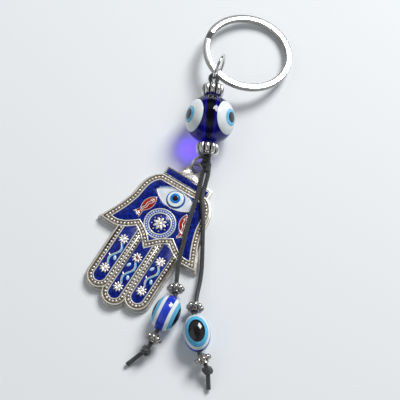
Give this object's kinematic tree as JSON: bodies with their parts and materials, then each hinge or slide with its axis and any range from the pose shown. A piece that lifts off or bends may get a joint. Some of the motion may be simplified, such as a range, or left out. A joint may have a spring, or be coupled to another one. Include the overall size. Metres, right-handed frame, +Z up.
{
  "type": "evil eye key charm",
  "caption": "Evil eye charm on a split key ring: glass eye bead between ribbed spacers, enamelled hand pendant with an eye, and cord tails with oval eye beads.",
  "frame": {"origin": "on the flat back of the hand pendant, under the middle of its medallion", "axes": "+Z up from the surface that the charm lies on, +Y towards the key ring, +X to the right as seen from above"},
  "size_m": [0.0669, 0.1276, 0.0163],
  "materials": {
    "bright_nickel": "polished nickel plate",
    "polished_silver": "polished silver plate, dark in the grooves",
    "antique_silver": "cast, antique silver plate",
    "dark_silver": "cast, oxidised silver plate",
    "waxed_cord": "waxed, slightly shiny",
    "cobalt_glass": "clear, glossy",
    "white_glass": "opaque, glossy",
    "light_blue_glass": "opaque, glossy",
    "black_glass": "opaque, glossy",
    "cobalt_enamel": "hard enamel, glossy",
    "blue_enamel": "hard enamel, glossy",
    "white_enamel": "hard enamel, glossy",
    "red_enamel": "hard enamel, glossy",
    "pale_enamel": "hard enamel, glossy",
    "royal_blue_resin": "cast resin, glossy",
    "white_resin": "cast resin, glossy",
    "light_blue_resin": "cast resin, glossy",
    "black_resin": "cast resin, glossy"
  },
  "bodies": {
    "cord": {"core_cord": "waxed_cord", "link_loop": "waxed_cord", "center_knot": "waxed_cord", "bail_ring": "bright_nickel"},
    "top_spacer": {"top_spacer": "polished_silver"},
    "glass_ball": {"glass_ball": "cobalt_glass", "ball_eye_whites": "white_glass", "ball_eye_blues": "light_blue_glass", "ball_eye_pupils": "black_glass"},
    "bottom_spacer": {"bottom_spacer": "polished_silver"},
    "link": {"link_ring": "bright_nickel"},
    "key_ring": {"key_ring": "bright_nickel"},
    "hand": {"hand_casting": "antique_silver", "header_bail": "antique_silver", "hand_border": "antique_silver", "border_rims": "antique_silver", "palm_cells": "antique_silver", "header_enamel": "cobalt_enamel", "palm_enamel": "cobalt_enamel", "finger_enamel_left": "cobalt_enamel", "finger_enamel_middle": "cobalt_enamel", "finger_enamel_right": "cobalt_enamel", "eye_enamel": "white_enamel", "cabochon_glass": "cobalt_glass", "cabochon_white": "white_glass", "cabochon_iris": "light_blue_glass", "cabochon_pupil": "black_glass", "red_fish_left": "red_enamel", "red_fish_right": "red_enamel", "medallion_band": "blue_enamel", "medallion_disc": "cobalt_enamel", "medallion_rosette": "antique_silver", "finger_flowers": "antique_silver", "finger_vines": "antique_silver", "enamel_drops": "pale_enamel"},
    "left_tail": {"left_tail_cord": "waxed_cord", "left_end_knot": "waxed_cord"},
    "left_upper_flower": {"left_upper_flower": "dark_silver"},
    "left_bead": {"left_bead_core": "royal_blue_resin", "left_bead_whites": "white_resin", "left_bead_blues": "light_blue_resin", "left_bead_caps": "black_resin"},
    "left_lower_flower": {"left_lower_flower": "dark_silver"},
    "right_tail": {"right_tail_cord": "waxed_cord", "right_end_knot": "waxed_cord"},
    "right_upper_flower": {"right_upper_flower": "dark_silver"},
    "right_bead": {"right_bead_core": "royal_blue_resin", "right_bead_whites": "white_resin", "right_bead_blues": "light_blue_resin", "right_bead_caps": "black_resin"},
    "right_lower_flower": {"right_lower_flower": "dark_silver"}
  },
  "joints": [
    {"name": "top_spacer_spin", "type": "hinge", "parent": "cord", "child": "top_spacer", "pos_m": [0.01698, 0.04353, 0.00904], "axis": [0.0887, 0.9933, 0.0735], "continuous": true},
    {"name": "glass_ball_spin", "type": "hinge", "parent": "cord", "child": "glass_ball", "pos_m": [0.01608, 0.03356, 0.0083], "axis": [0.0887, 0.9933, 0.0735], "continuous": true},
    {"name": "bottom_spacer_spin", "type": "hinge", "parent": "cord", "child": "bottom_spacer", "pos_m": [0.0152, 0.02358, 0.00756], "axis": [0.0887, 0.9933, 0.0735], "continuous": true},
    {"name": "link_swing", "type": "hinge", "parent": "cord", "child": "link", "pos_m": [0.01736, 0.04781, 0.00935], "axis": [0, 0, 1], "range_deg": [-2, 25]},
    {"name": "key_ring_swing", "type": "hinge", "parent": "link", "child": "key_ring", "pos_m": [0.01858, 0.05044, 0.00775], "axis": [0.6691, -0.7431, 0], "range_deg": [0, 45]},
    {"name": "hand_swing", "type": "hinge", "parent": "cord", "child": "hand", "pos_m": [0.01151, 0.01863, 0.0021], "axis": [0, 0, 1], "range_deg": [-20, 1]},
    {"name": "left_tail_lift", "type": "hinge", "parent": "cord", "child": "left_tail", "pos_m": [0.0151, 0.0179, 0.0044], "axis": [-1, 0, 0], "range_deg": [0, 50]},
    {"name": "right_tail_lift", "type": "hinge", "parent": "cord", "child": "right_tail", "pos_m": [0.0151, 0.0179, 0.0044], "axis": [-1, 0, 0], "range_deg": [0, 50]},
    {"name": "left_upper_flower_spin", "type": "hinge", "parent": "left_tail", "child": "left_upper_flower", "pos_m": [0.00525, -0.0219, 0.00375], "axis": [-0.0861, -0.9758, 0.2009], "continuous": true},
    {"name": "left_bead_spin", "type": "hinge", "parent": "left_tail", "child": "left_bead", "pos_m": [0.00236, -0.02985, 0.00435], "axis": [-0.4356, -0.9002, 0], "continuous": true},
    {"name": "left_lower_flower_spin", "type": "hinge", "parent": "left_tail", "child": "left_lower_flower", "pos_m": [-0.00149, -0.03781, 0.00435], "axis": [-0.4356, -0.9002, 0], "continuous": true},
    {"name": "right_upper_flower_spin", "type": "hinge", "parent": "right_tail", "child": "right_upper_flower", "pos_m": [0.01125, -0.0279, 0.0036], "axis": [-0.1397, -0.95, 0.2794], "continuous": true},
    {"name": "right_bead_spin", "type": "hinge", "parent": "right_tail", "child": "right_bead", "pos_m": [0.0118, -0.0362, 0.00435], "axis": [0.1322, -0.9912, 0], "continuous": true},
    {"name": "right_lower_flower_spin", "type": "hinge", "parent": "right_tail", "child": "right_lower_flower", "pos_m": [0.01365, -0.0443, 0.0041], "axis": [0.4441, -0.8881, -0.1184], "continuous": true}
  ]
}
